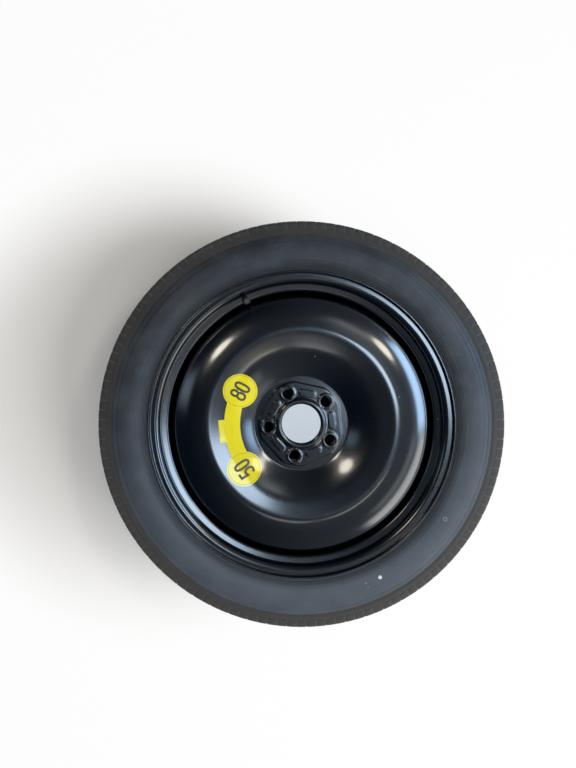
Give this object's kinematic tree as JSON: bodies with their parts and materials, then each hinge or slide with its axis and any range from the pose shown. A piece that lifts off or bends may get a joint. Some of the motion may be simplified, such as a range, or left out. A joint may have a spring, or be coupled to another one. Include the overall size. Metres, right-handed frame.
{
  "type": "spare wheel",
  "caption": "Temporary-use car spare wheel: narrow tyre on a black pressed-steel wheel with a deep drop centre, snap-in valve and a yellow speed label in the bowl.",
  "frame": {"origin": "the wheel's centre, on its axis and midway between the rim's flanges", "axes": "+Z along the wheel's axis towards the street side, up as the wheel lies; +X to the right and +Y to the top as seen from the street side, with the valve 114 degrees round from +X"},
  "size_m": [0.6568, 0.6568, 0.1272],
  "materials": {
    "tyre_rubber": "matt moulded rubber",
    "wheel_paint": "semi-gloss black dip paint",
    "valve_rubber": "matt",
    "valve_brass": "turned",
    "spring_steel": "drawn wire",
    "cap_plastic": "moulded",
    "label_vinyl": "printed film"
  },
  "bodies": {
    "wheel": {"tyre": "tyre_rubber", "rim": "wheel_paint", "wheel_disc": "wheel_paint", "disc_welds": "wheel_paint", "valve_body": "valve_rubber", "valve_tube": "valve_brass", "core_barrel": "valve_brass", "core_spring": "spring_steel", "speed_label": "label_vinyl"},
    "cap": {"valve_cap": "cap_plastic", "cap_seal": "valve_rubber"},
    "pin": {"core_pin": "valve_brass", "core_seal": "valve_rubber"}
  },
  "joints": [
    {"name": "cap_off", "type": "slide", "parent": "wheel", "child": "cap", "axis": [0.1057, -0.2363, 0.9659], "range_m": [0, 0.012]},
    {"name": "pin_press", "type": "slide", "parent": "wheel", "child": "pin", "axis": [-0.1057, 0.2363, -0.9659], "range_m": [0, 0.0012], "stiffness_N_per_m": 1500, "springref_m": -0.002, "deforming": ["core_spring"]}
  ]
}
